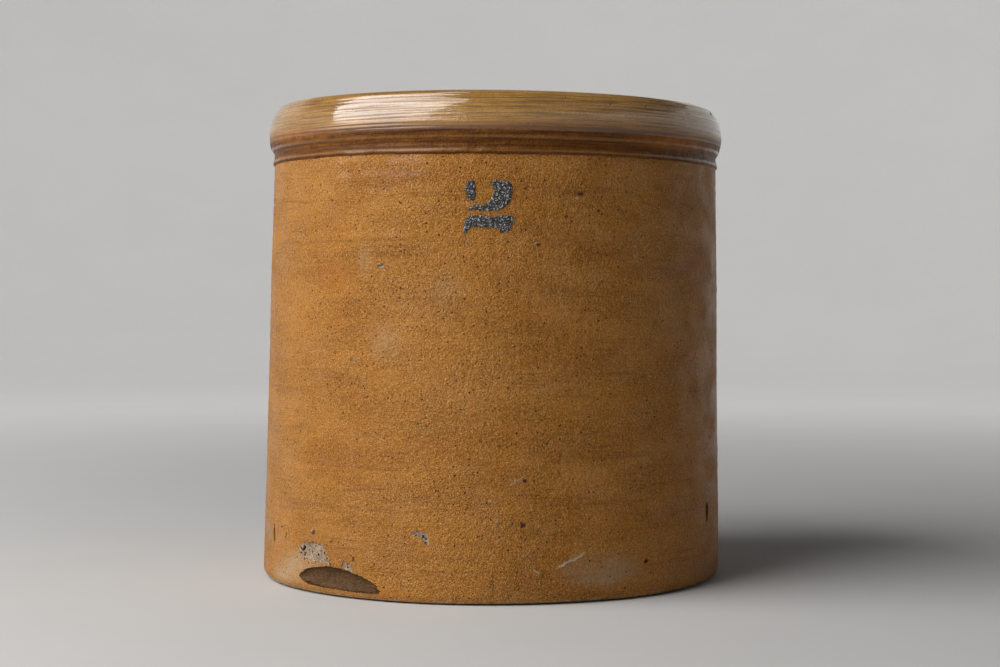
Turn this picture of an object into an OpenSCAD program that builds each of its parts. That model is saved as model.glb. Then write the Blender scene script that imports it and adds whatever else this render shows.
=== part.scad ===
// Straight-sided stoneware crock with a turned rim band, glazed inside and out.
// Millimetres, +Z up, origin at the centre of the foot on the table.

/* [Vessel] */
// Height from the table to the top of the lip
height = 239; // [150:1:400]
// Outside diameter at the foot, over the glaze
foot_d = 236; // [120:1:400]
// How much the outside radius shrinks from the foot up to the rim
taper = 3.8; // [0:0.1:12]
// Thickness of the wall just under the rim, over both coats
wall_t = 10.2; // [8.2:0.1:16]

/* [Floor] */
// Thickness of the floor in the middle, over the lining
floor_t = 17.5; // [13:0.5:30]
// Height of the raised key on the slab that centres the wall
key_h = 2; // [0.5:0.1:4]
// Rounding of the foot's outer edge
foot_round = 5; // [1:0.5:8]
// Rounding of the inside corner between wall and floor
corner_round = 12; // [3:0.5:30]

/* [Rim] */
// Height of the rim band, from the lip down to the underside of the bead
rim_h = 29.5; // [27:0.5:34]
// How far the band's widest point stands out from the wall under it
rim_stand = 2.8; // [2:0.1:6]
// Depth of the widest point below the lip
belly_drop = 14; // [11:0.5:17]
// Radius of the roll's bulging side
roll_r = 20; // [16:0.5:40]
// Height of the cove, from the bead up to the lower edge of the roll
cove_h = 5.7; // [4:0.1:8]
// Radius of the cove under the roll
cove_r = 5; // [4:0.1:12]
// Radius of the bead that ends the band on the wall
bead_r = 0.9; // [0.6:0.1:1.4]
// Rounding of the lip's outer edge, where the roll turns over
edge_round = 4; // [2:0.1:6]
// Rounding of the lip's inner edge
lip_round = 1; // [0.4:0.1:2]
// Thickness of the tongue on the wall that the band is wrapped round
tongue_t = 5; // [2:0.1:6.5]
// Thickness of clay folded over the top of the tongue
fold_t = 8; // [5:0.5:14]

/* [Glaze] */
// Thickness of the glaze outside
glaze_t = 0.5; // [0.2:0.1:0.8]
// Thickness of the slip lining inside
slip_t = 0.5; // [0.2:0.1:0.8]
// How far round the foot's rounding the glaze runs, in degrees
glaze_wrap = 45; // [5:1:60]

/* [Hidden] */
// Radii of the clay, which lies under both coats
foot_r = foot_d / 2 - glaze_t;
shoulder_r = foot_r - taper;
rim_r = shoulder_r + rim_stand;
bore_r = shoulder_r + glaze_t + slip_t - wall_t;
tongue_r = bore_r + tongue_t;
key_r = bore_r - corner_round;

// Levels of the clay, from the floor up
floor_z = floor_t - slip_t;
seam_z = floor_z - key_h;
rim_z = height - rim_h;
lip_z = height - glaze_t;
tongue_z = lip_z - fold_t;
lip_end_z = lip_z - lip_round;
roll_end_z = rim_z + 2 * bead_r + cove_h;

// Centres of the rounded stretches. The roll is upright at its widest point.
foot_c = [wall_r(foot_round) - foot_round, foot_round];
corner_c = [key_r, floor_z + corner_round];
lip_c = [bore_r + lip_round, lip_end_z];
roll_c = [rim_r - roll_r, height - belly_drop];
bead_c = [shoulder_r, rim_z + bead_r];

// The lip's outer edge is tangent to the roll and to the lip
edge_rise = asin((lip_z - edge_round - roll_c.y) / (roll_r - edge_round));
edge_c = roll_c + (roll_r - edge_round) * [cos(edge_rise), sin(edge_rise)];

// The cove meets the roll's lower edge and is tangent to the bead
roll_low = asin((roll_end_z - roll_c.y) / roll_r);
cove_c = crossing(roll_c + roll_r * [cos(roll_low), sin(roll_low)], cove_r, bead_c, cove_r + bead_r);
cove_turn = bearing(bead_c, cove_c);

arc_steps = 10;
$fn = 180;

// Radius of the clay wall's outside at a height
function wall_r(z) = foot_r - taper * z / rim_z;

// Points along an arc from one angle to another
function arc(centre, radius, from, to) =
    [for (i = [0 : arc_steps])
        let (a = from + (to - from) * i / arc_steps)
        centre + radius * [cos(a), sin(a)]];

// Where two circles cross, on the left of the way from the first centre to the second
function crossing(c1, r1, c2, r2) =
    let (
        apart = norm(c2 - c1),
        way = (c2 - c1) / apart,
        along = (apart * apart + r1 * r1 - r2 * r2) / (2 * apart),
        aside = sqrt(r1 * r1 - along * along)
    )
    c1 + along * way + aside * [-way.y, way.x];

// Direction from one point to another, in degrees from 0 to 360
function bearing(from, to) =
    let (a = atan2(to.y - from.y, to.x - from.x))
    a < 0 ? a + 360 : a;

function reversed(points) = [for (i = [len(points) - 1 : -1 : 0]) points[i]];

// Neighbouring arcs end on the same point, which the outline needs only once
function without_repeats(points) =
    [for (i = [0 : len(points) - 1])
        if (i == 0 || norm(points[i] - points[i - 1]) > 0.001) points[i]];

// Rounded edge of the foot, from an angle below the horizontal up to the wall's seam
function foot_line(coat, start) =
    concat(arc(foot_c, foot_round + coat, start, 0), [[wall_r(seam_z) + coat, seam_z]]);

// Outside of the rim from the wall up over the lip to the bore, with a coat on the clay
function rim_line(coat) =
    let (
        arris = crossing(roll_c, roll_r + coat, cove_c, cove_r - coat),
        bead_start = -acos(coat / (bead_r + coat))
    )
    concat(
        arc(bead_c, bead_r + coat, bead_start, cove_turn),
        arc(cove_c, cove_r - coat, 180 + cove_turn, bearing(cove_c, arris)),
        arc(roll_c, roll_r + coat, bearing(roll_c, arris) - 360, edge_rise),
        arc(edge_c, edge_round + coat, edge_rise, 90),
        arc(lip_c, lip_round + coat, 90, 180)
    );

// Inside from the lip down to the middle of the floor, with a coat on the clay
function inside_line(coat) =
    concat(
        [[bore_r - coat, lip_end_z]],
        arc(corner_c, corner_round - coat, 0, -90),
        [[0, floor_z + coat]]
    );

module turned(points) {
    rotate_extrude() polygon(without_repeats(points));
}

// Flat disc of clay with a shallow raised key that centres the wall
module floor_slab() {
    color("tan") turned(concat(
        [[0, 0]],
        foot_line(0, -90),
        [[key_r, seam_z], [key_r, floor_z], [0, floor_z]]
    ));
}

// Tapered wall that stands on the slab and ends in the tongue for the rim band
module wall() {
    color("burlywood") turned(concat(
        [
            [key_r, seam_z],
            [wall_r(seam_z), seam_z],
            [shoulder_r, rim_z],
            [tongue_r, rim_z],
            [tongue_r, tongue_z],
            [bore_r, tongue_z]
        ],
        arc(corner_c, corner_round, 0, -90)
    ));
}

// Collar of clay wrapped round the tongue and folded over it: bead, cove, roll and lip
module rim_band() {
    color("wheat") turned(concat(
        rim_line(0),
        [[bore_r, tongue_z], [tongue_r, tongue_z], [tongue_r, rim_z]]
    ));
}

// Glaze over the foot, the wall and the rim, ending inside the lip
module outside_glaze() {
    color("peru") turned(concat(
        foot_line(glaze_t, -glaze_wrap),
        rim_line(glaze_t),
        reversed(rim_line(0)),
        reversed(foot_line(0, -glaze_wrap))
    ));
}

// Dark slip that lines the bore and the floor
module inside_glaze() {
    color("saddlebrown") turned(concat(
        inside_line(0),
        reversed(inside_line(slip_t))
    ));
}

floor_slab();
wall();
rim_band();
outside_glaze();
inside_glaze();
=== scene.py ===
"""Looks of a straight-sided stoneware crock: glazes, slip lining, bare clay, chips and a numeral."""

import math
from functools import cache, reduce
from inspect import signature
from typing import NamedTuple

import bmesh
import bpy
import numpy as np
from bpy.props import FloatProperty, FloatVectorProperty, PointerProperty
from bpy.types import Operator, Panel, PropertyGroup
from mathutils import Euler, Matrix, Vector, noise


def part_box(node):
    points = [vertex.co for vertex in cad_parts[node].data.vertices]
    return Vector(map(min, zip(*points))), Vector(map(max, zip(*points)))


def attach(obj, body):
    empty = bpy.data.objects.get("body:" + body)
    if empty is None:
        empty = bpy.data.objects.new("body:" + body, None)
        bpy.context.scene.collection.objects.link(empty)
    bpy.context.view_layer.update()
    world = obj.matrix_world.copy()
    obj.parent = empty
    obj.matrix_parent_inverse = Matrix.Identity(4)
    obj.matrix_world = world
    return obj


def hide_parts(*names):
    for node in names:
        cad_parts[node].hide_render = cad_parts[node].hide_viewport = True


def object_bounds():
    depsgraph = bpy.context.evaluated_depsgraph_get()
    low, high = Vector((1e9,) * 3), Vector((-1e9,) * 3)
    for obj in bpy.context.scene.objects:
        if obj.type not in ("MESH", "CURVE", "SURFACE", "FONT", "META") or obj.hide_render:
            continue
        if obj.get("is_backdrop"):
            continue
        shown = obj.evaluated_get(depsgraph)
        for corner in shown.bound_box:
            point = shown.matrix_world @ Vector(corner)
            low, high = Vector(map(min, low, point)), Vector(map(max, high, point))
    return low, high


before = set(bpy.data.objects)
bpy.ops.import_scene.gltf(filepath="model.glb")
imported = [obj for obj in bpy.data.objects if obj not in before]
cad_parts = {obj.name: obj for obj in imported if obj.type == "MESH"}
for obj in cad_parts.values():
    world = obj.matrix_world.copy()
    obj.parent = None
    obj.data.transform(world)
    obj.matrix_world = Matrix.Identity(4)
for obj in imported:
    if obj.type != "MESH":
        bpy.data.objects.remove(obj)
CAD_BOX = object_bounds()

bl_info = {
    "name": "Stoneware Crock",
    "version": (1, 0, 0),
    "blender": (4, 5, 0),
    "location": "3D View > Sidebar > Crock",
    "description": "Builds the glazed and worn surfaces of a turned stoneware crock round its solid model",
    "category": "Object",
}

MM = 0.001
TURN = 2 * math.pi
BODY = "root"


# Sizes and colours that a user would change


def length(name, description, default):
    """Property for a length in metres."""
    return FloatProperty(name=name, description=description, default=default, unit="LENGTH", precision=5)


def angle(name, description, degrees):
    """Property for an angle."""
    return FloatProperty(name=name, description=description, default=math.radians(degrees), subtype="ANGLE")


def colour(name, description, default):
    """Property for a colour in linear light."""
    return FloatVectorProperty(
        name=name, description=description, default=default, subtype="COLOR", size=3, min=0, max=1
    )


def level(name, description, default):
    """Property for a plain number, such as a lamp's power."""
    return FloatProperty(name=name, description=description, default=default)


class CrockShape(PropertyGroup):
    """Sizes of the turned outline that the solid model's boxes don't give."""

    taper: length("Taper", "How much the outside radius shrinks from foot to rim", 3.8 * MM)
    foot_round: length("Foot rounding", "Rounding of the foot's outer edge", 5 * MM)
    corner_round: length("Corner rounding", "Rounding between the bore and the floor", 12 * MM)
    belly_drop: length("Belly drop", "Depth of the rim's widest point below the lip", 14 * MM)
    roll_radius: length("Roll radius", "Radius of the rim's bulging side", 20 * MM)
    edge_round: length("Lip outer rounding", "Rounding where the roll turns over", 4 * MM)
    lip_round: length("Lip inner rounding", "Rounding of the lip's inner edge", 1 * MM)
    cove_height: length("Cove height", "From the bead up to the lower edge of the roll", 5.7 * MM)
    cove_radius: length("Cove radius", "Radius of the cove under the roll", 5 * MM)
    bead_radius: length("Bead radius", "Radius of the bead that ends the rim on the wall", 0.9 * MM)
    tongue: length("Tongue thickness", "Thickness of the tongue that the rim is wrapped round", 5 * MM)
    glaze: length("Glaze thickness", "Thickness of the coat outside", 0.5 * MM)
    slip: length("Slip thickness", "Thickness of the lining inside", 0.5 * MM)
    glaze_wrap: angle("Glaze wrap", "How far the glaze runs round the foot's rounding", 45)
    lean: angle("Lean", "How far the fired vessel leans to the right", 0.56)
    ring_depth: length("Throwing rings", "Depth of the finger rings inside", 0.9 * MM)


class CrockFinish(PropertyGroup):
    """Colours of the glazes and of the clay."""

    honey_pale: colour("Honey, thin", "Glaze where it lies thin", (0.48, 0.208, 0.044))
    honey_gold: colour("Honey, golden", "Glaze of middling thickness", (0.415, 0.164, 0.017))
    honey_deep: colour("Honey, pooled", "Glaze where it lies thick", (0.33, 0.11, 0.012))
    honey_dark: colour("Honey, stippled", "Fine brown stipple in the glaze", (0.115, 0.036, 0.005))
    # Pale grains of the glaze, partly painted glints standing in for tiny highlights on its skin
    honey_bright: colour("Honey, bright", "Pale grains in the glaze", (0.68, 0.37, 0.12))
    roll_pale: colour("Rim, thin", "Rim glaze on the roll", (0.52, 0.268, 0.063))
    roll_deep: colour("Rim, pooled", "Rim glaze where it streaks", (0.14, 0.058, 0.011))
    throat_pale: colour("Throat, thin", "Amber streaks under the roll", (0.26, 0.094, 0.012))
    throat_deep: colour("Throat, pooled", "Brown glaze pooled under the roll", (0.07, 0.021, 0.003))
    # Also the painted shade in cut scratches and pits
    iron: colour("Iron", "Iron specks that bleed through the glaze", (0.05, 0.021, 0.009))
    rust: colour("Rust", "Orange bloom by the foot and rim", (0.48, 0.165, 0.02))
    # Also the colour of the painted glints on blisters and the painted highlight on raised scratches
    worn: colour("Worn", "Rubbed glaze along the edges", (0.50, 0.36, 0.21))
    wiped: colour("Wiped", "Thin wiped glaze by the foot", (0.46, 0.33, 0.19))
    scuffed: colour("Scuffed", "Greyish scuffed glaze", (0.33, 0.23, 0.14))
    clay: colour("Clay", "Fired body where it is bare", (0.46, 0.36, 0.25))
    flaked: colour("Flaked", "Grey clay in a shallow flake", (0.46, 0.33, 0.225))
    stained: colour("Stained", "Old brown stain in a deep chip", (0.135, 0.066, 0.024))
    slip_pale: colour("Slip, thin", "Lining on the crests of the rings", (0.20, 0.105, 0.05))
    slip_deep: colour("Slip, pooled", "Lining in the hollows", (0.085, 0.038, 0.018))
    # Dark slip, made darker as painted shade in the hollows between the grains
    cobalt: colour("Numeral slip", "Dark grains of the numeral", (0.014, 0.014, 0.017))
    # Painted highlight on the crests of the numeral's grains
    cobalt_grain: colour("Numeral grains", "Pale grains of the numeral", (0.50, 0.465, 0.44))


class CrockNumeral(PropertyGroup):
    """Place and relief of the numeral."""

    bearing: angle("Bearing", "Turn from the front to the numeral's middle", -1.3)
    height: length("Height", "Height of the numeral's middle", 183.35 * MM)
    rise: length("Rise", "How far the slip stands out from the glaze", 0.85 * MM)
    grain: length("Grain", "Size of the grains in the slip", 0.58 * MM)
    cell: length("Cell", "Spacing of the numeral's mesh", 0.25 * MM)


class CrockStage(PropertyGroup):
    """Camera, lamps and floor."""

    camera_distance: length("Camera distance", "From the crock's axis to the camera", 1.0087)
    camera_height: length("Camera height", "Height of the camera", 143.3 * MM)
    camera_pitch: angle("Camera pitch", "How far the camera looks down", 1.108)
    camera_yaw: angle("Camera yaw", "How far the camera looks to the right", 0.264)
    lens: level("Focal length", "Focal length for a sensor 36 mm wide", 69.67)
    key_bearing: angle("Key bearing", "Turn from the front to the key lamp", -60)
    key_rise: angle("Key rise", "Height of the key lamp as an angle", 36)
    key_distance: length("Key distance", "From the crock to the key lamp", 1.45)
    key_size: length("Key size", "Side of the key lamp", 1.45)
    key_power: level("Key power", "Watts of the key lamp", 31)
    fill_power: level("Fill power", "Watts of the fill lamp", 0.8)
    sky: level("Sky", "Strength of the even light from all round", 0.07)
    backdrop: level("Backdrop", "How much the backdrop is brightened for the eye", 0.64)
    floor: colour("Floor", "Colour of the floor and backdrop", (0.60, 0.59, 0.575))


# Outline of the vessel: points of radius and height


def arc(centre, radius, start, end, points=25):
    """Points along an arc between two angles in radians."""
    turn = np.linspace(start, end, points)
    return np.asarray(centre) + radius * np.column_stack([np.cos(turn), np.sin(turn)])


def crossing(first, first_radius, second, second_radius):
    """Where two circles cross, on the left of the way from the first centre to the second."""
    way = np.subtract(second, first)
    apart = np.hypot(*way)
    way = way / apart
    along = (apart**2 + first_radius**2 - second_radius**2) / (2 * apart)
    aside = math.sqrt(first_radius**2 - along**2)
    return first + along * way + aside * np.array([-way[1], way[0]])


def heading(start, end):
    """Angle of the way from one point to another."""
    return math.atan2(end[1] - start[1], end[0] - start[0])


def polar(centre, radius, turn):
    """Point at a distance and an angle from a centre."""
    return centre + radius * np.array([math.cos(turn), math.sin(turn)])


def evenly(line, step):
    """The same line with its points an even step apart."""
    legs = np.hypot(*np.diff(line, axis=0).T)
    along = np.concatenate([[0], np.cumsum(legs)])
    at = np.linspace(0, along[-1], max(2, round(along[-1] / step) + 1))
    return np.column_stack([np.interp(at, along, line[:, k]) for k in (0, 1)])


def softened(line, passes):
    """The same line with its corners rounded, as a glaze rounds them."""
    for _ in range(passes):
        line = np.vstack([line[:1], (line[:-2] + 2 * line[1:-1] + line[2:]) / 4, line[-1:]])
    return line


class Outline:
    """Lines of the clay and its coats in the plane of the axis, from the solid model and the shape."""

    def __init__(self, shape):
        self.shape = shape
        slab, wall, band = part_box("floor_slab"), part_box("wall"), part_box("rim_band")
        coat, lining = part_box("outside_glaze"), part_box("inside_glaze")
        self.height = coat[1].z
        self.seam_z = wall[0].z
        self.tongue_z = wall[1].z
        self.rim_z = band[0].z
        self.lip_z = band[1].z
        self.floor_z = slab[1].z
        self.bore_r = lining[1].x
        self.foot_r = wall[1].x + shape.taper * self.seam_z / self.rim_z
        self.shoulder_r = self.foot_r - shape.taper
        self.rim_r = band[1].x
        self.key_r = self.bore_r - shape.corner_round
        self.belly_z = self.height - shape.belly_drop
        self.arris_z = self.rim_z + 2 * shape.bead_radius + shape.cove_height

    def wall_r(self, z):
        """Radius of the clay wall's outside at a height."""
        return self.foot_r - self.shape.taper * z / self.rim_z

    def foot_line(self, coat, start):
        """Rounded edge of the foot, from an angle below the horizontal up to the slab's seam."""
        radius = self.shape.foot_round
        centre = (self.wall_r(radius) - radius, radius)
        seam = (self.wall_r(self.seam_z) + coat, self.seam_z)
        return np.vstack([arc(centre, radius + coat, start, 0), [seam]])

    def rim_line(self, coat):
        """Outside of the rim from the wall up over the lip to the bore."""
        shape = self.shape
        roll_c = np.array([self.rim_r - shape.roll_radius, self.belly_z])
        bead_c = np.array([self.shoulder_r, self.rim_z + shape.bead_radius])
        edge_reach = shape.roll_radius - shape.edge_round
        edge_rise = math.asin((self.lip_z - shape.edge_round - self.belly_z) / edge_reach)
        edge_c = polar(roll_c, edge_reach, edge_rise)
        low = math.asin((self.arris_z - self.belly_z) / shape.roll_radius)
        corner = polar(roll_c, shape.roll_radius, low)
        cove_c = crossing(corner, shape.cove_radius, bead_c, shape.cove_radius + shape.bead_radius)
        arris = crossing(roll_c, shape.roll_radius + coat, cove_c, shape.cove_radius - coat)
        bead_start = -math.acos(coat / (shape.bead_radius + coat))
        cove_turn = heading(bead_c, cove_c)
        lip_c = (self.bore_r + shape.lip_round, self.lip_z - shape.lip_round)
        cove_end = heading(cove_c, arris) % TURN
        return np.vstack([
            arc(bead_c, shape.bead_radius + coat, bead_start, cove_turn),
            arc(cove_c, shape.cove_radius - coat, math.pi + cove_turn, cove_end),
            arc(roll_c, shape.roll_radius + coat, heading(roll_c, arris), edge_rise),
            arc(edge_c, shape.edge_round + coat, edge_rise, math.pi / 2),
            arc(lip_c, shape.lip_round + coat, math.pi / 2, math.pi),
        ])

    def skin_r(self, height):
        """Radius of the glaze's outside at heights on the wall and up the rim's side."""
        line = self.rim_line(self.shape.glaze)
        side = line[: np.argmax(line[:, 1]) + 1]
        rim = np.interp(height, side[:, 1], side[:, 0])
        return np.where(height > side[0, 1], rim, self.wall_r(height) + self.shape.glaze)

    def inside_line(self, coat):
        """Inside from the lip down to the middle of the floor."""
        radius = self.shape.corner_round
        centre = (self.key_r, self.floor_z + radius)
        return np.vstack([
            [(self.bore_r - coat, self.lip_z - self.shape.lip_round)],
            arc(centre, radius - coat, 0, -math.pi / 2),
            [(0, self.floor_z + coat)],
        ])


# Meshes turned about the axis, a little out of true as a hand-thrown vessel is


# How far the rim is oval and three-lobed, and the turn at which each starts
OVAL = 0.35 * MM
OVAL_TURN = 0.6
LOBES = 0.2 * MM
LOBES_TURN = 2.1


def thrown(outline, radius, turn, height):
    """Place on the fired vessel, which leans and is slightly out of round towards the rim."""
    share = height / outline.height
    swell = OVAL * np.sin(2 * turn + OVAL_TURN) + LOBES * np.sin(3 * turn + LOBES_TURN)
    radius = radius * (1 + share * (swell / outline.foot_r))
    x = radius * np.sin(turn)
    tilt = math.tan(outline.shape.lean)
    return np.stack([x + height * tilt, -radius * np.cos(turn), height - x * tilt * share], -1)


def unleaned(outline, points):
    """Turn from the front and height of points on the fired vessel, before it leaned."""
    tilt = math.tan(outline.shape.lean)
    x = points[:, 0] - points[:, 2] * tilt
    height = points[:, 2] + x * tilt * points[:, 2] / outline.height
    return np.arctan2(x, -points[:, 1]), height


def lumps(points, size):
    """Smooth noise between about -1 and 1 whose lumps have a given size."""
    flat = (points / np.asarray(size)).reshape(-1, 3)
    return np.array([noise.noise(p) for p in flat.tolist()]).reshape(points.shape[:-1])


def ring_faces(rows, columns, closed=False):
    """Four-sided faces between rings of points, and from the last ring to the first if closed."""
    row = np.arange(rows if closed else rows - 1)[:, None] * columns
    after = (row + columns) % (rows * columns)
    here = np.arange(columns)
    beside = (here + 1) % columns
    return np.stack([row + here, row + beside, after + beside, after + here], -1).reshape(-1, 4).tolist()


def new_object(name, points, faces, material):
    """Object in the scene with a new mesh of one material."""
    mesh = bpy.data.meshes.new(name)
    mesh.from_pydata(np.reshape(points, (-1, 3)).tolist(), [], faces)
    mesh.materials.append(material)
    made = bpy.data.objects.new(name, mesh)
    bpy.context.scene.collection.objects.link(made)
    return made


def turned_piece(name, outline, line, columns, material, relief=None):
    """Closed object made by turning a line of radius and height, raised along its normal by a relief.

    The line runs up the outside and down the inside. Where it starts on the axis, it also ends there.
    """
    turn = np.linspace(-math.pi, math.pi, columns, endpoint=False)
    radius = line[:, :1] + np.zeros(columns)
    height = line[:, 1:2] + np.zeros(columns)
    if relief is not None:
        ahead = np.roll(line, -1, 0) - np.roll(line, 1, 0)
        ahead /= np.hypot(*ahead.T)[:, None]
        rise = relief(np.stack([radius * np.sin(turn), -radius * np.cos(turn), height], -1), turn)
        radius = radius + ahead[:, 1:] * rise
        height = height - ahead[:, :1] * rise
    points = thrown(outline, radius, turn, height)
    if line[0, 0] > 0:
        return new_object(name, points, ring_faces(len(points), columns, closed=True), material)
    rings = points[1:-1].reshape(-1, 3)
    bottom, top = len(rings), len(rings) + 1
    last = bottom - columns
    pairs = [(here, (here + 1) % columns) for here in range(columns)]
    faces = ring_faces(len(points) - 2, columns)
    faces += [(bottom, beside, here) for here, beside in pairs]
    faces += [(top, last + here, last + beside) for here, beside in pairs]
    return new_object(name, np.vstack([rings, points[0, :1], points[-1, :1]]), faces, material)


def mesh_points(mesh):
    """Places of a mesh's vertices as an array."""
    points = np.empty(len(mesh.vertices) * 3)
    mesh.vertices.foreach_get("co", points)
    return points.reshape(-1, 3)


def paint(mesh, name, values):
    """Stores one number per vertex for the materials to read."""
    layer = mesh.attributes.new(name, "FLOAT", "POINT")
    layer.data.foreach_set("value", np.clip(values, 0, 1).astype(np.float32))


def finish_piece(piece, slot, node=None, sharp=40):
    """Shades a piece and sets it in the frame, in place of a node if one is named."""
    piece.data.shade_smooth()
    piece.data.set_sharp_from_angle(angle=math.radians(sharp))
    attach(piece, BODY)
    if node:
        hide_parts(node)


def smooth(values, low, high):
    """Rises smoothly from 0 at low to 1 at high."""
    share = np.clip((values - low) / (high - low), 0, 1)
    return share * share * (3 - 2 * share)


# Chips, dents and stains: bearings in degrees to the right of the front, the rest in millimetres


# Way along the wall for one degree of bearing
ARC_WAY = 2.06
# Bowl of a chip from its cap down to its middle: share of the way out to the edge, and of the depth
SCOOP = (
    (0, -1.5), (0.55, -1.5), (1.1, -1.3), (1, 0), (0.96, 0.26), (0.9, 0.47), (0.82, 0.64), (0.72, 0.78),
    (0.6, 0.88), (0.46, 0.94), (0.3, 0.98), (0.15, 1), (0, 1),
)
# Spacing of the points round a chip, size of its edge's teeth and of its two grains, and how ragged it is
CHIP_STEP = 0.4
CHIP_TEETH = 1.1
CHIP_GRAIN = (2.4, 0.9)
CHIP_RAGGED = 0.6
# Deepest that a dent may go into the coat
DEEPEST = -0.4 * MM
# Where a soft patch begins and ends to fade, in half sizes from its middle
PATCH_FADE = (0.3, 1.25)
STRAY_MARKS = 260
STRAY_SEED = 11


class Chip(NamedTuple):
    """Flake knocked off the outside: bearings and heights round its edge, depth, roughness and finish."""

    edge: tuple
    depth: float
    rough: float
    finish: str


class Spot(NamedTuple):
    """Soft spot in the glaze: its middle, its half sizes, and its rise or its greatest cover."""

    bearing: float
    height: float
    across: float
    tall: float
    amount: float = 1.0


class Scratch(NamedTuple):
    """Fine line or small pit in the glaze: its middle, half length, half width, slope and rise."""

    bearing: float
    height: float
    reach: float
    half: float
    slope: float
    rise: float


def nick(bearing, height, across, tall, slope=0.0):
    """Uneven edge of a small chip, the same on each run."""
    corners = 8
    draw = np.random.default_rng(round(abs(bearing) * 10 + height))
    turn = np.linspace(0, TURN, corners, endpoint=False) + draw.uniform(-0.25, 0.25, corners)
    reach = draw.uniform(0.75, 1.3, corners)
    x, y = reach * across * np.cos(turn), reach * tall * np.sin(turn)
    tip = math.radians(slope)
    x, y = x * math.cos(tip) - y * math.sin(tip), x * math.sin(tip) + y * math.cos(tip)
    return tuple(zip(bearing + x / ARC_WAY, height + y))


CHIPS = (
    # Long stained chip at the left of the foot, blunt at its left end
    Chip(
        ((-52.3, 7.6), (-51.4, 10.0), (-48.8, 12.0), (-45.0, 13.6), (-41.5, 14.5), (-37.4, 14.4),
         (-32.2, 12.0), (-29.2, 10.0), (-27.4, 7.2), (-25.4, 4.8), (-27.4, 3.4), (-32.2, 3.6),
         (-39.7, 3.9), (-49.4, 4.5)),
        2.6, 0.12, "stained",
    ),
    # Shallow grey flakes above it
    Chip(
        ((-53.0, 19.4), (-51.4, 23.6), (-47.2, 25.2), (-44.0, 24.8), (-42.2, 21.8), (-41.4, 18.0),
         (-40.4, 15.2), (-45.5, 15.6), (-49.5, 16.8)),
        0.8, 0.35, "flaked",
    ),
    Chip(nick(-50.8, 21.0, 2.4, 0.9, 40), 1.7, 0.2, "stained"),
    Chip(((-37.6, 15.2), (-36.4, 18.6), (-34.6, 16.4), (-33.0, 12.4), (-35.0, 13.4)), 0.7, 0.3, "flaked"),
    # Small nicks on the wall
    Chip(nick(-27.6, 157.0, 2.1, 1.1, 10), 0.8, 0.2, "flaked"),
    Chip(
        ((-19.0, 33.8), (-17.0, 34.6), (-15.0, 33.4), (-14.2, 30.0), (-14.3, 27.0), (-15.4, 29.0),
         (-16.6, 31.4), (-18.2, 32.2)),
        0.7, 0.25, "flaked",
    ),
    Chip(nick(-35.0, 112.4, 1.6, 0.6, 5), 0.6, 0.2, "flaked"),
    Chip(nick(38.5, 17.4, 1.5, 0.9, 20), 1.2, 0.2, "stained"),
    Chip(nick(66.0, 36.0, 2.3, 5.5), 1.1, 0.3, "stained"),
    Chip(nick(-67.2, 25.4, 1.6, 5.6, 6), 0.8, 0.35, "stained"),
    # Flakes on the sides that face away
    Chip(
        ((105.0, 5.2), (108.0, 10.4), (113.5, 12.0), (118.5, 9.2), (121.0, 5.6), (117.0, 3.2), (110.0, 3.0)),
        2.0, 0.15, "stained",
    ),
    Chip(nick(171.0, 11.0, 7.0, 4.0, -14), 0.9, 0.35, "flaked"),
    Chip(nick(-128.0, 8.0, 8.0, 3.4, 5), 1.5, 0.25, "flaked"),
    Chip(nick(146.0, 92.0, 2.2, 1.4, 30), 0.7, 0.2, "flaked"),
    Chip(nick(-101.0, 131.0, 1.7, 1.3, -15), 0.7, 0.2, "flaked"),
)
RIM_CHIPS = (
    Chip(nick(71.0, 235.6, 2.4, 0.9), 0.9, 0.2, "flaked"),
    Chip(nick(-152.0, 234.6, 4.2, 1.6, 6), 1.1, 0.3, "flaked"),
    Chip(nick(128.0, 217.6, 2.6, 0.8), 0.7, 0.2, "flaked"),
)
MARKS = [Spot(*row) for row in (
    (21.1, 191.0, 1.5, 1.2, -0.34), (21.7, 192.8, 2.0, 1.0, 0.16), (10.4, 15.5, 1.5, 1.3, 0.45),
    (7.3, 37.4, 1.3, 1.3, -0.3), (-0.8, 211.2, 2.2, 0.8, 0.3), (2.7, 40.0, 0.9, 3.0, 0.2),
    (2.4, 34.0, 0.9, 3.6, -0.25), (2.0, 27.0, 0.9, 4.2, 0.22), (5.3, 44.0, 3.6, 0.8, 0.22),
    (8.7, 46.5, 3.6, 0.9, 0.18), (-17.2, 33.6, 3.0, 0.8, 0.2), (24.0, 14.5, 15.0, 5.0, -0.2),
    (-12.3, 128.8, 1.4, 1.1, -0.3),
)]
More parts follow.
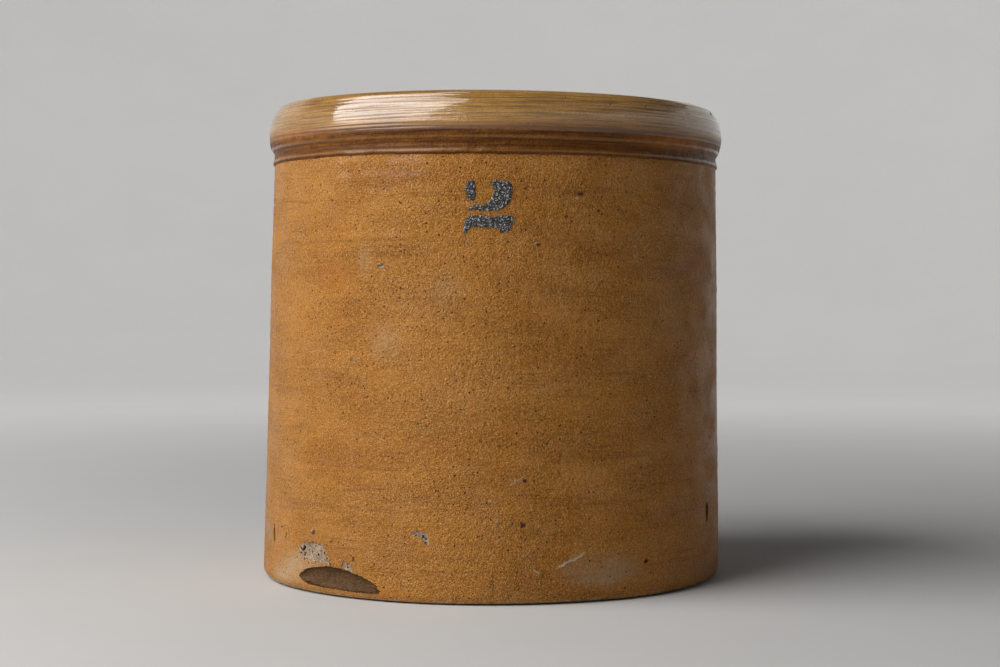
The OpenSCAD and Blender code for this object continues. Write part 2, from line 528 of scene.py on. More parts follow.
# Besides their relief, cut lines and pits get painted shade, and raised lines a painted highlight
SCRATCHES = [Scratch(*row) for row in (
    (6.2, 58.0, 5.2, 0.4, 35, 0.25), (2.0, 30.4, 4.6, 0.4, 29, 0.22), (1.2, 38.0, 4.6, 0.4, 82, 0.22),
    (10.9, 64.0, 2.6, 0.5, 85, 0.3), (18.6, 20.3, 9.0, 1.0, 23, 0.5), (-51.8, 163.0, 2.8, 0.5, -55, 0.25),
    (-21.0, 9.0, 3.6, 0.3, 88, -0.3), (0.4, 11.0, 6.0, 0.3, 92, -0.3), (-11.0, 15.6, 44.0, 0.3, 0, -0.12),
    (-64.5, 28.0, 4.5, 0.4, 84, -0.3), (-57.5, 27.0, 3.6, 0.35, 95, -0.25),
    (10.5, 15.6, 2.4, 0.6, -35, 0.35), (21.2, 190.6, 1.7, 1.3, 20, -0.45),
    (20.4, 189.2, 1.4, 0.6, 30, 0.25), (11.0, 166.9, 1.1, 0.9, 0, -0.45), (10.3, 167.7, 0.9, 0.6, 40, 0.35),
    (17.7, 180.3, 1.1, 0.7, 0, -0.35), (7.3, 37.4, 1.4, 1.3, 0, -0.5), (7.7, 57.8, 1.0, 1.0, 0, -0.5),
    (-46.7, 29.7, 1.6, 1.1, 30, -0.45), (-47.4, 30.6, 1.4, 0.6, 20, 0.4), (-59.1, 25.8, 1.9, 1.0, 60, -0.4),
    (-58.2, 22.6, 2.0, 0.6, -40, 0.4), (-61.5, 29.5, 1.7, 0.7, 20, -0.35),
    (-33.5, 19.1, 1.4, 0.9, 70, -0.4), (-40.3, 26.6, 1.3, 0.8, 40, -0.4),
)]
WIPED = [Spot(*row) for row in (
    (-53.0, 12.0, 20.0, 9.0), (-60.0, 7.0, 14.0, 6.0), (158.0, 10.0, 20.0, 9.0),
    (-25.5, 122.0, 10.0, 10.0, 0.35), (-32.0, 160.0, 5.0, 9.0, 0.3), (-11.0, 146.0, 8.0, 9.0, 0.25),
    (74.0, 130.0, 11.0, 16.0, 0.3), (-140.0, 150.0, 14.0, 12.0, 0.3),
)]
RUST = [Spot(*row) for row in (
    (-64.5, 15.0, 7.0, 7.0), (-24.0, 4.5, 14.0, 3.0), (-60.0, 223.0, 46.0, 5.0), (50.0, 218.0, 40.0, 4.5),
    (95.0, 20.0, 12.0, 10.0), (-41.0, 152.0, 13.0, 13.0, 0.45), (160.0, 170.0, 16.0, 12.0, 0.4),
)]
PEBBLED = [Spot(*row) for row in (
    (-12.0, 226.0, 22.0, 6.0), (20.0, 226.5, 20.0, 5.0, 0.8), (49.0, 229.0, 9.0, 9.0),
    (150.0, 227.0, 30.0, 6.0),
)]
SCUFFED = [Spot(*row) for row in (
    (26.0, 15.0, 24.0, 9.0), (-72.0, 26.0, 7.0, 9.0), (-160.0, 40.0, 14.0, 18.0), (118.0, 70.0, 11.0, 14.0),
)]


def away(turn, height, outline, spot):
    """Distance from a spot's middle in half sizes, over the wall's surface."""
    round_way = (turn - math.radians(spot.bearing) + math.pi) % TURN - math.pi
    across = round_way * outline.foot_r / (spot.across * MM)
    return np.hypot(across, (height - spot.height * MM) / (spot.tall * MM))


def patches(turn, height, outline, spots):
    """How far each place lies inside soft patches, from 0 to 1."""
    cover = np.zeros(len(turn))
    for spot in spots:
        share = 1 - smooth(away(turn, height, outline, spot), *PATCH_FADE)
        cover = np.maximum(cover, spot.amount * share)
    return cover


def dented(rise, turn, height, outline, marks):
    """Rise of a skin with soft dents and bumps in it."""
    for mark in marks:
        rise = rise + mark.amount * MM * np.exp(-(away(turn, height, outline, mark) ** 2))
    return np.maximum(rise, DEEPEST)


def stray_marks(outline):
    """Small pits and blisters scattered over the whole wall, the same on each run."""
    draw = np.random.default_rng(STRAY_SEED)
    for _ in range(STRAY_MARKS):
        size = draw.uniform(0.7, 1.7)
        yield Spot(
            bearing=draw.uniform(-180, 180),
            height=draw.uniform(8, outline.rim_z / MM - 4),
            across=size * draw.uniform(0.9, 1.6),
            tall=size,
            amount=draw.choice((-0.24, -0.16, 0.16, 0.22)),
        )


def rounded(corners, passes):
    """Closed line with its corners cut, again on each pass."""
    for _ in range(passes):
        after = np.roll(corners, -1, 0)
        corners = np.stack([0.75 * corners + 0.25 * after, 0.25 * corners + 0.75 * after], 1).reshape(-1, 2)
    return corners


def chip_cutter(outline, chip, material):
    """Closed object that scoops out one chip: a cap clear of the glaze, and a rough bowl under it."""
    edge = rounded(np.array(chip.edge) * (ARC_WAY, 1), 3)
    edge = evenly(np.vstack([edge, edge[:1]]), CHIP_STEP)[:-1]
    middle = edge.mean(0)
    ragged = lumps(np.column_stack([edge, np.full(len(edge), chip.depth)]), CHIP_TEETH)
    edge = edge + (edge - middle) * (ragged * CHIP_RAGGED * chip.rough)[:, None]
    share, fall = np.array(SCOOP).T[:, :, None]
    flat = middle + share[..., None] * (edge - middle)
    bowl = np.dstack([flat, np.full(flat.shape[:2], chip.depth)])
    grain = lumps(bowl, CHIP_GRAIN[0]) + 0.5 * lumps(bowl, CHIP_GRAIN[1])
    depth = np.where(fall > 0, fall * chip.depth + chip.rough * grain * (1 - share), fall) * MM
    height = flat[..., 1] * MM
    points = thrown(outline, outline.skin_r(height) - depth, np.radians(flat[..., 0] / ARC_WAY), height)
    cutter = new_object("chip_cutter", points, ring_faces(*depth.shape), material)
    cut = bmesh.new()
    cut.from_mesh(cutter.data)
    bmesh.ops.remove_doubles(cut, verts=cut.verts, dist=1e-6)
    bmesh.ops.recalc_face_normals(cut, faces=cut.faces)
    cut.to_mesh(cutter.data)
    cut.free()
    return cutter


def knock_chips(piece, outline, chips, finishes):
    """Cuts the chips out of a piece, which takes each chip's own finish on the broken faces."""
    low, high = (corner[2] / MM for corner in (piece.bound_box[0], piece.bound_box[6]))
    cutters = []
    for chip in chips:
        heights = [height for _, height in chip.edge]
        if min(heights) < high and max(heights) > low:
            cutters.append(chip_cutter(outline, chip, finishes[chip.finish]))
    for cutter in cutters:
        modifier = piece.modifiers.new("chip", "BOOLEAN")
        modifier.operation = "DIFFERENCE"
        modifier.solver = "EXACT"
        modifier.material_mode = "TRANSFER"
        modifier.object = cutter
    shown = piece.evaluated_get(bpy.context.evaluated_depsgraph_get())
    before = piece.data
    piece.data = bpy.data.meshes.new_from_object(shown)
    piece.modifiers.clear()
    for mesh in (before, *(cutter.data for cutter in cutters)):
        bpy.data.meshes.remove(mesh)


# Shader nodes


class Value:
    """Output of a shader node. Each sum done with it adds a node to its tree."""

    def __init__(self, node, output=0):
        self.socket = node.outputs[output]
        self.tree = node.id_data

    def calc(self, operation, other=0.0):
        """Result of a sum of this value and another."""
        return Value(add(self.tree, "ShaderNodeMath", {0: self, 1: other}, operation=operation))

    def most(self, other):
        """The greater of this value and another."""
        return self.calc("MAXIMUM", other)

    def fade(self, low, high, start=0.0, end=1.0):
        """This value moved smoothly from one range to another."""
        inputs = {"Value": self, "From Min": low, "From Max": high, "To Min": start, "To Max": end}
        return Value(add(self.tree, "ShaderNodeMapRange", inputs, interpolation_type="SMOOTHSTEP"))

    def __add__(self, other):
        return self.calc("ADD", other)

    def __sub__(self, other):
        return self.calc("SUBTRACT", other)

    def __mul__(self, other):
        return self.calc("MULTIPLY", other)

    def __truediv__(self, other):
        return self.calc("DIVIDE", other)


def feed(node, inputs):
    """Links or sets a node's inputs. A plain colour is taken as opaque."""
    for key, value in inputs.items():
        socket = node.inputs[key]
        if isinstance(value, Value):
            node.id_data.links.new(value.socket, socket)
        else:
            socket.default_value = (*value, 1) if socket.type == "RGBA" else value


def add(tree, kind, inputs=None, **settings):
    """Adds a node, sets it up and feeds it."""
    node = tree.nodes.new(kind)
    for key, value in settings.items():
        setattr(node, key, value)
    feed(node, inputs or {})
    return node


def layered(base, *coats):
    """Colour with coats laid over it in turn, each a mask and a colour."""
    for mask, coat in coats:
        base = Value(add(mask.tree, "ShaderNodeMix", {0: mask, 6: base, 7: coat}, data_type="RGBA"), 2)
    return base


def place(tree):
    """Place on the object."""
    return Value(add(tree, "ShaderNodeTexCoord"), "Object")


def painted(tree, name):
    """Number stored on the vertices."""
    return Value(add(tree, "ShaderNodeAttribute", attribute_name=name), "Fac")


def scale_for(tree, size):
    """Scale of a texture whose lumps have a given size in metres."""
    return Value(add(tree, "ShaderNodeMath", {0: 1, 1: size}, operation="DIVIDE"))


def noise_at(tree, size, stretch=None, detail=2.0, roughness=0.5):
    """Noise over the object whose lumps have a given size in metres."""
    where = place(tree)
    if stretch:
        where = Value(add(tree, "ShaderNodeMapping", {"Vector": where, "Scale": stretch}))
    inputs = {"Vector": where, "Scale": scale_for(tree, size), "Detail": detail, "Roughness": roughness}
    return Value(add(tree, "ShaderNodeTexNoise", inputs))


def bumped(height):
    """Normal of a surface with a height in millimetres."""
    return Value(add(height.tree, "ShaderNodeBump", {"Height": height, "Distance": MM, "Strength": 1}))


def titled(name):
    """A Python name as the title of a group or socket."""
    return name.replace("_", " ").title()


def effect(build):
    """Makes a function that adds nodes into a shared node group, built when it is first used.

    Its arguments after the tree become the group's inputs, with their defaults, and its results the outputs.
    """

    @cache
    def group():
        tree = bpy.data.node_groups.new(titled(build.__name__), "ShaderNodeTree")
        given = {titled(name): argument.default for name, argument in signature(build).parameters.items()}
        given.pop("Tree")
        for name, value in given.items():
            kind = "NodeSocketColor" if value is GREY else "NodeSocketFloat"
            tree.interface.new_socket(name, in_out="INPUT", socket_type=kind).default_value = value
        entry = tree.nodes.new("NodeGroupInput")
        results = build(tree, *(Value(entry, name) for name in given))
        for name, value in results.items():
            kind = "NodeSocketColor" if value.socket.type == "RGBA" else "NodeSocketFloat"
            tree.interface.new_socket(name, in_out="OUTPUT", socket_type=kind)
        feed(tree.nodes.new("NodeGroupOutput"), results)
        return tree

    return group


def use(tree, group, **inputs):
    """Outputs of a shared effect by name, with its own values in this material."""
    values = {titled(name): value for name, value in inputs.items()}
    node = add(tree, "ShaderNodeGroup", values, node_tree=group())
    return {socket.name: Value(node, socket.name) for socket in node.outputs}


# Shared effects


GREY = (0.5, 0.5, 0.5, 1)


@effect
def glaze_mottle(tree, thin=GREY, pooled=GREY, patch_size=0.03):
    """Glaze that lies thin and pale in some places and pooled and deep in others."""
    broad = noise_at(tree, patch_size, detail=3)
    close = noise_at(tree, patch_size / 6, stretch=(0.7, 0.7, 1.4), detail=4)
    speckle = noise_at(tree, patch_size / 42, detail=2)
    thick = broad * 0.9 + close * 0.75 + speckle * 0.45
    return {"Colour": layered(thin, (thick.fade(0.72, 1.4), pooled))}


@effect
def iron_specks(tree, spacing=0.004, size=0.2):
    """Round specks of many sizes, scattered with a given spacing."""
    cells = add(tree, "ShaderNodeTexVoronoi", {"Vector": place(tree), "Scale": scale_for(tree, spacing)})
    chance = Value(add(tree, "ShaderNodeSeparateColor", {"Color": Value(cells, "Color")}), "Red")
    edge = chance.calc("POWER", 2) * size
    return {"Mask": Value(cells, "Distance").fade(edge, edge * 0.55)}


@effect
def turning_lines(tree, pitch=0.002):
    """Fine level lines left by the potter's rib: a broken mask, a height, and smooth ridges."""
    lines = noise_at(tree, pitch, stretch=(0.02, 0.02, 1), detail=4, roughness=0.65)
    broken = noise_at(tree, 0.018, stretch=(0.6, 0.6, 2.5), detail=2)
    return {
        "Mask": lines.fade(0.55, 0.68) * broken.fade(0.4, 0.62),
        "Height": lines,
        "Ridge": noise_at(tree, pitch, stretch=(0.015, 0.015, 1), detail=0),
    }


@effect
def pebble_skin(tree, size=0.001):
    """Orange-peel skin of a fired glaze, or the grain of bare clay, as a height."""
    coarse = noise_at(tree, size, detail=2, roughness=0.6)
    broad = noise_at(tree, size * 3.5, detail=1)
    return {"Height": coarse + broad * 0.8}


@effect
def edge_wear(tree, cover=0.0, break_size=0.002):
    """Wear from a smooth cover: a broken mask with hard edges, and a soft veil."""
    grain = noise_at(tree, break_size, detail=4, roughness=0.7)
    return {
        "Mask": (cover + (grain - 0.5) * 1.1).fade(0.42, 0.72),
        "Veil": cover * grain.fade(0.3, 0.7, 0.35, 1),
    }


@effect
def fine_stipple(tree, size=0.0008):
    """Fine grain of a glaze: a mask of its dark grains and one of its pale grains."""
    grain = noise_at(tree, size, stretch=(0.9, 0.9, 1.1), detail=2, roughness=0.7)
    limit = noise_at(tree, 0.02, stretch=(0.5, 0.5, 1.6), detail=2).fade(0.3, 0.7, 0.51, 0.45)
    return {"Dark": (grain - limit).fade(0, 0.15), "Pale": grain.fade(0.45, 0.32)}


@effect
def fine_scratch(tree, bearing=0.001, height=0.001, reach=0.001, half=0.001, slope=0.001, wander=0.001):
    """One fine line on the wall at a bearing and a height, moved aside by a wander in metres."""
    axes = add(tree, "ShaderNodeSeparateXYZ", {"Vector": place(tree)})
    turn = Value(axes, "X").calc("ARCTAN2", Value(axes, "Y") * -1)
    across = (turn - bearing) * (ARC_WAY * MM * 180 / math.pi)
    up = Value(axes, "Z") - height
    cosine, sine = slope.calc("COSINE"), slope.calc("SINE")
    along = across * cosine + up * sine
    aside = up * cosine - across * sine + wander
    ends = (along.calc("ABSOLUTE") / reach).fade(0.55, 1, 1, 0)
    return {"Mask": ends * (aside.calc("ABSOLUTE") / half).fade(0.3, 1, 1, 0)}


# Materials


def new_material(name, ior=1.5, gleam=0.5):
    """Material with an empty principled shader: its tree and its shader."""
    material = bpy.data.materials.new(name)
    material.use_nodes = True
    shader = material.node_tree.nodes["Principled BSDF"]
    feed(shader, {"IOR": ior, "Specular IOR Level": gleam})
    return material, material.node_tree, shader


def specks_at(tree, spacing, size):
    """Mask of specks with a given spacing and size."""
    return use(tree, iron_specks, spacing=spacing, size=size)["Mask"]


def worn_at(tree, break_size):
    """Mask of wear along the painted edges."""
    return use(tree, edge_wear, cover=painted(tree, "edge"), break_size=break_size)["Mask"]


def pebbles_at(tree, size):
    """Height of a pebbled skin."""
    return use(tree, pebble_skin, size=size)["Height"]


def mottled(tree, thin, pooled, patch_size):
    """Colour between a thin and a pooled glaze."""
    return use(tree, glaze_mottle, thin=thin, pooled=pooled, patch_size=patch_size)["Colour"]


def shaded(rgb, factor):
    """Colour times a factor."""
    return [factor * part for part in rgb]


def scratch_relief(tree):
    """Height of the scratches in millimetres, a mask of painted shade for the cut ones, and one of painted
    highlight for the raised ones.
    """
    rises, cuts, shines = [], [], []
    wander = (noise_at(tree, 0.0024, detail=3) - 0.5) * (3 * MM)
    for line in SCRATCHES:
        mask = use(
            tree, fine_scratch,
            bearing=math.radians(line.bearing), height=line.height * MM, reach=line.reach * MM,
            half=line.half * MM, slope=math.radians(line.slope), wander=wander,
        )["Mask"]
        rises.append(mask * line.rise)
        # Cut lines and pits are painted dark as shade, and raised lines pale as a highlight
        shown = cuts if line.rise < 0 else shines
        shown.append(mask * abs(2 * line.rise))
    return reduce(Value.__add__, rises), reduce(Value.most, cuts), reduce(Value.most, shines)


def honey_glaze(finish):
    """Speckled, semi-gloss honey glaze of the wall."""
    material, tree, shader = new_material("honey_glaze", gleam=0.12)
    pools = noise_at(tree, 0.024, stretch=(0.55, 0.55, 1.3), detail=4).fade(0.44, 0.7)
    coats = [(pools * 0.55, finish.honey_deep)]
    for size, dark, pale in ((0.0004, 0.8, 0.9), (0.0009, 0.25, 0.3)):
        stipple = use(tree, fine_stipple, size=size)
        # The pale grains are partly painted glints
        coats += [(stipple["Dark"] * dark, finish.honey_dark), (stipple["Pale"] * pale, finish.honey_bright)]
    for pitch, strength in ((0.0008, 0.45), (0.0027, 0.25)):
        coats.append((use(tree, turning_lines, pitch=pitch)["Mask"] * strength, finish.honey_dark))
    for name, strength, size in (("rust", 0.7, 0.006), ("wiped", 0.8, 0.007), ("scuffed", 0.75, 0.012)):
        veil = use(tree, edge_wear, cover=painted(tree, name), break_size=size)["Veil"]
        coats.append((veil * strength, getattr(finish, name)))
    worn = worn_at(tree, 0.0025)
    specks = (specks_at(tree, 0.002, 0.3) * 0.95).most(specks_at(tree, 0.0042, 0.16))
    # Blisters: real bumps with a glossy coat, and the pale colour laid on them is a painted glint
    blisters = specks_at(tree, 0.0031, 0.2)
    scratches, cut, shine = scratch_relief(tree)
    coats += [
        (worn * 0.6, finish.worn),
        (specks, finish.iron),
        # Painted glints on the blisters
        (blisters * 0.7, finish.worn),
        # Painted shade in the cut scratches and pits, and a painted highlight on the raised scratches
        (cut, finish.iron),
        (shine, finish.worn),
    ]
    gloss = noise_at(tree, 0.012, detail=3).fade(0.3, 0.7, 0.36, 0.5)
    sparkle = noise_at(tree, 0.015, detail=4).fade(0.42, 0.62, 0, 0.2)
    ribs = use(tree, turning_lines, pitch=0.0026)["Height"]
    skin = pebbles_at(tree, 0.0009) * 0.75 + ribs * 0.16 + specks * -0.25 + blisters * 0.4 + scratches
    feed(shader, {
        "Base Color": layered(mottled(tree, finish.honey_pale, finish.honey_gold, 0.045), *coats),
        "Roughness": worn * 0.2 + painted(tree, "scuffed") * 0.2 + gloss,
        "Coat Weight": sparkle.most(shine.most(blisters)),
        "Coat Roughness": 0.14,
        "Normal": bumped(skin),
    })
    return material


def amber_colour(tree, finish):
    """Amber glaze that pools brown in the turning lines under the roll."""
    streaks = use(tree, turning_lines, pitch=0.0011)["Height"].fade(0.3, 0.74)
    stipple = use(tree, fine_stipple, size=0.0009)["Dark"]
    runs = use(tree, edge_wear, cover=0.5, break_size=0.007)["Mask"]
    stain = use(tree, edge_wear, cover=painted(tree, "rust"), break_size=0.004)["Veil"]
    return layered(
        finish.throat_deep,
        (streaks, finish.throat_pale),
        (stipple * 0.5, finish.throat_deep),
        (runs * 0.6, finish.throat_deep),
        (stain * 0.6, finish.rust),
    )


def roll_glaze(finish):
    """Glossy olive-tan glaze of the roll, ribbed and streaked by turning."""
    material, tree, shader = new_material("roll_glaze", 1.72)
    stipple = use(tree, fine_stipple, size=0.0006)["Dark"]
    ribs = use(tree, turning_lines, pitch=0.0008)["Height"].fade(0.46, 0.6, 0, 0.6)
    lines = use(tree, turning_lines, pitch=0.001)["Mask"]
    belly = painted(tree, "belly")
    worn = worn_at(tree, 0.0014)
    specks = specks_at(tree, 0.0035, 0.16)
    base = layered(
        mottled(tree, finish.roll_pale, shaded(finish.roll_pale, 0.72), 0.03),
        (stipple * 0.45, finish.roll_deep),
        (ribs, finish.roll_deep),
        (lines * 0.9, finish.roll_deep),
        (belly * 0.45, finish.throat_pale),
        (painted(tree, "throat"), amber_colour(tree, finish)),
        (worn * 0.6, finish.worn),
        (specks, finish.iron),
    )
    dull = worn.most(lines).most(belly)
    pebbled = painted(tree, "pebbled").fade(0, 1, 0.02, 0.24)
    coarse, fine = (use(tree, turning_lines, pitch=pitch)["Ridge"] for pitch in (0.0011, 0.0005))
    skin = coarse * 0.85 + fine * 0.1 + pebbles_at(tree, 0.001) * pebbled + lines * -0.08 + specks * -0.12
    feed(shader, {
        "Base Color": base,
        "Roughness": dull.fade(0, 1, 0.06, 0.4),
        "Coat Weight": dull.fade(0, 1, 0.65, 0),
        "Coat Roughness": 0.04,
        "Coat IOR": 1.6,
        "Normal": bumped(skin),
    })
    return material


def throat_glaze(finish):
    """Streaked amber glaze in the cove under the roll, glossy where it breaks over the bead, and paler there
    and on the arris, partly as a painted highlight.
    """
    material, tree, shader = new_material("throat_glaze", gleam=0.12)
    thin = painted(tree, "thin")
    specks = specks_at(tree, 0.0045, 0.12)
    ribs = use(tree, turning_lines, pitch=0.0014)["Height"]
    # Thin glaze on the arris and bead is painted paler, partly as a painted highlight line
    base = layered(amber_colour(tree, finish), (thin * 0.3, finish.honey_pale), (specks, finish.iron))
    feed(shader, {
        "Base Color": base,
        "Roughness": thin.fade(0, 1, 0.36, 0.14),
        "Coat Weight": thin * 0.45,
        "Coat Roughness": 0.08,
        "Normal": bumped(ribs * 0.3 + pebbles_at(tree, 0.0012) * 0.5 + specks * -0.1),
    })
    return material


def dark_slip(finish):
    """Glossy brown slip that lines the inside."""
    material, tree, shader = new_material("dark_slip")
    worn = worn_at(tree, 0.004)
    specks = specks_at(tree, 0.006, 0.2)
    base = mottled(tree, finish.slip_pale, finish.slip_deep, 0.04)
    ribs = use(tree, turning_lines, pitch=0.003)["Height"]
    feed(shader, {
        "Base Color": layered(base, (worn * 0.6, finish.honey_deep), (specks, finish.iron)),
        "Roughness": worn.fade(0, 1, 0.22, 0.5),
        "Normal": bumped(pebbles_at(tree, 0.0018) * 0.08 + ribs * 0.1),
    })
    return material


def bare_clay(name, finish, tint, grit, roughness):
    """Sandy fired body with iron grains, as bare foot, flake or stained chip."""
    material, tree, shader = new_material(name, gleam=0.2)
    grains = use(tree, fine_stipple, size=0.0006)
    specks = specks_at(tree, 0.0015, grit)
    base = layered(
        mottled(tree, tint, shaded(tint, 0.4), 0.006),
        (grains["Dark"] * 0.6, shaded(tint, 0.35)),
        (grains["Pale"] * 0.5, shaded(tint, 1.7)),
        (specks, finish.iron),
    )
    skin = pebbles_at(tree, 0.0008) * 0.6 + specks * -0.1
    feed(shader, {"Base Color": base, "Roughness": roughness, "Normal": bumped(skin)})
    return material


def numeral_slip(finish):
    """Coarse cobalt slip: painted shade in its hollows and a painted highlight on its gritty crests."""
    material, tree, shader = new_material("numeral_slip")
    grit = pebbles_at(tree, 0.00055)
    crest = painted(tree, "crest") + (grit * 0.6 - 0.54)
    feed(shader, {
        # Pale on the crests and dark in the hollows: a painted highlight and painted shade that follow the
        # grains' height
        "Base Color": layered(finish.cobalt, (crest.fade(0.52, 0.8), finish.cobalt_grain)),
        "Roughness": 0.3,
        "Normal": bumped(grit * 0.5),
    })
    return material


def clay_finishes(finish):
    """Materials of the broken faces by name, made once."""
    wanted = {
        "clay": ("bare_clay", finish.clay, 0.3, 0.85),
        "flaked": ("flaked_clay", finish.flaked, 0.75, 0.8),
        "stained": ("stained_clay", finish.stained, 0.3, 0.6),
    }
    return {
        key: bpy.data.materials.get(name) or bare_clay(name, finish, tint, grit, rough)
        for key, (name, tint, grit, rough) in wanted.items()
    }


# Operators: one for each group of like pieces, and one for the stage


class CROCK_OT_clay(Operator):
    """Turn the three clay pieces: floor slab, wall and rim band"""

    bl_idname = "crock.clay"
    bl_label = "Turn Clay"

    columns = 240
    step = 2 * MM
    drag_pitch = 5 * MM
    drag_depth = 0.25 * MM
    drag_centre = (-0.09, 0.15)
    drag_fade = (0.100, 0.110)

    def execute(self, context):
        outline = Outline(context.scene.crock_shape)
        finishes = clay_finishes(context.scene.crock_finish)
        shape = outline.shape
        seam = (outline.wall_r(outline.seam_z), outline.seam_z)
        tongue_r = outline.bore_r + shape.tongue
        slab = np.vstack([
            evenly(np.array([(0, 0), (outline.wall_r(shape.foot_round) - shape.foot_round, 0)]), self.step),
            evenly(outline.foot_line(0, -math.pi / 2), self.step)[1:],
            [(outline.key_r, outline.seam_z), (outline.key_r, outline.floor_z), (0, outline.floor_z)],
        ])
        wall = np.vstack([
            [(outline.key_r, outline.seam_z)],
            evenly(np.array([seam, (outline.shoulder_r, outline.rim_z)]), self.step),
            [(tongue_r, outline.rim_z), (tongue_r, outline.tongue_z), (outline.bore_r, outline.tongue_z)],
            outline.inside_line(0)[1:-1],
        ])
        band = np.vstack([
            evenly(outline.rim_line(0), self.step / 2),
            [(outline.bore_r, outline.tongue_z), (tongue_r, outline.tongue_z), (tongue_r, outline.rim_z)],
        ])
        rows = (
            ("clay_slab", slab, "floor_slab", self.wire_marks, CHIPS),
            ("clay_wall", wall, "wall", None, CHIPS),
            ("clay_rim", band, "rim_band", None, RIM_CHIPS),
        )
        for name, line, node, relief, chips in rows:
            piece = turned_piece(name, outline, line, self.columns, finishes["clay"], relief)
            knock_chips(piece, outline, chips, finishes)
            finish_piece(piece, "clay", node)
        return {"FINISHED"}

    def wire_marks(self, points, turn):
        """Curved drag lines of the cutting wire under the slab."""
        x, y, height = np.moveaxis(points, -1, 0)
        sweep = np.hypot(x - self.drag_centre[0], y - self.drag_centre[1])
        lines = np.sin(TURN * sweep / self.drag_pitch + 2 * lumps(points, 0.04))
        inside = 1 - smooth(np.hypot(x, y), *self.drag_fade)
        return np.where(height < 0.01 * MM, -self.drag_depth * (0.5 + 0.5 * lines) * inside, 0)


class CROCK_OT_glaze(Operator):
    """Coat the wall and the rim with glaze"""

    bl_idname = "crock.glaze"
    bl_label = "Glaze Outside"

    wall_columns = 480
    wall_step = 1.1 * MM
    wall_back_step = 8 * MM
    rim_columns = 600
    rim_step = 0.55 * MM
    rim_back_step = 3 * MM
    ring_pitch = 7 * MM
    ring_depth = 0.045 * MM
    rib_pitch = 1.7 * MM
    rib_depth = 0.1 * MM
    rib_wander = 0.3 * MM
    run_depth = 0.35 * MM
    throat_top = 220.3 * MM
    # Depth and size of the wall's unevenness, from broad to fine
    wall_lumps = ((0.3 * MM, 0.06), (0.12 * MM, (0.025, 0.025, 0.015)), (0.05 * MM, (0.006, 0.006, 0.003)))

    def execute(self, context):
        finish = context.scene.crock_finish
        outline = self.outline = Outline(context.scene.crock_shape)
        self.clays = clay_finishes(finish)
        coat, start = outline.shape.glaze, -outline.shape.glaze_wrap
        inner, outer = outline.rim_line(0), outline.rim_line(coat)

        outside = evenly(np.vstack([outline.foot_line(coat, start), outer[:1]]), self.wall_step)
        back = evenly(np.vstack([outline.foot_line(0, start), inner[:1]]), self.wall_back_step)
        honey = honey_glaze(finish)
        wall = self.coat("wall_glaze", outside, back, self.wall_columns, honey, self.wall_relief, CHIPS)
        self.paint_wall(wall.data)
        finish_piece(wall, "honey_glaze", "outside_glaze")

        outside = softened(evenly(outer, self.rim_step), 2)
        back = evenly(inner, self.rim_back_step)
        olive = roll_glaze(finish)
        rim = self.coat("rim_glaze", outside, back, self.rim_columns, olive, self.rim_relief, RIM_CHIPS)
        self.paint_rim(rim.data)
        self.glaze_throat(rim.data, throat_glaze(finish))
        finish_piece(rim, "honey_glaze", "outside_glaze")
        return {"FINISHED"}

    def coat(self, name, outside, back, columns, material, relief, chips):
        """Closed coat with relief on its outside, a plain back on the clay, and its chips knocked out."""
        self.skin = np.concatenate([np.ones(len(outside)), np.zeros(len(back))])[:, None]
        line = np.vstack([outside, back[::-1]])
        piece = turned_piece(name, self.outline, line, columns, material, relief)
        knock_chips(piece, self.outline, chips, self.clays)
        return piece

    def wall_relief(self, points, turn):
        """Throwing spiral, pebbled skin, dents and blisters of the wall's glaze."""
        height = points[..., 2]
        spiral = np.sin(TURN * (height / self.ring_pitch) + turn)
        rise = self.ring_depth * spiral * (1 + lumps(points, 0.05))
        for depth, size in self.wall_lumps:
            rise += depth * lumps(points, size)
        marks = (*MARKS, *stray_marks(self.outline))
        return dented(rise, turn, height, self.outline, marks) * self.skin

    def rim_relief(self, points, turn):
        """Ribs left by the turning tool on the roll, runs in the throat, and small pits."""
        height = points[..., 2]
        level_line = np.stack([height * 0, height * 0, height + self.rib_wander * np.sin(turn)], -1)
        ribs = lumps(level_line, self.rib_pitch)
        rise = self.rib_depth * ribs + 0.06 * MM * lumps(points, (0.02, 0.02, 0.004))
        low = 1 - smooth(height, self.throat_top - 1 * MM, self.throat_top + 2 * MM)
        rise += self.run_depth * low * (1 + lumps(points, 0.05)) * lumps(points, (0.006, 0.006, 0.0022))
        return dented(rise, turn, height, self.outline, MARKS) * self.skin

    def paint_wall(self, mesh):
        """Stores where the wall's glaze is stained, wiped, scuffed or worn at an edge."""
        turn, height = unleaned(self.outline, mesh_points(mesh))
        for name, spots in (("rust", RUST), ("wiped", WIPED), ("scuffed", SCUFFED)):
            paint(mesh, name, patches(turn, height, self.outline, spots))
        paint(mesh, "edge", 0.55 * (1 - smooth(height, 1.5 * MM, 6 * MM)))

    def paint_rim(self, mesh):
        """Stores where the rim is amber, dull, stained, pebbled, thin or worn at an edge."""
        outline = self.outline
        points = mesh_points(mesh)
        turn, height = unleaned(outline, points)
        above_throat = height + 0.7 * MM * lumps(points, (0.02, 0.02, 0.004)) - self.throat_top
        paint(mesh, "throat", 1 - smooth(above_throat, 1 * MM, 3 * MM))
        paint(mesh, "belly", 1 - smooth(above_throat, 1 * MM, 8 * MM))
        paint(mesh, "rust", patches(turn, height, outline, RUST))
        paint(mesh, "pebbled", patches(turn, height, outline, PEBBLED))
        paint(mesh, "edge", 0.7 * smooth(height, outline.height - 1.3 * MM, outline.height - 0.2 * MM))
        # Thin glaze on the arris and bead, which the throat paints paler, partly as a painted highlight line
        arris = 1 - smooth(np.abs(height - outline.arris_z), 0.2 * MM, 1.0 * MM)
        bead = 1 - smooth(np.abs(height - outline.rim_z - 1.3 * MM), 0.2 * MM, 0.9 * MM)
        paint(mesh, "thin", np.maximum(arris, bead))

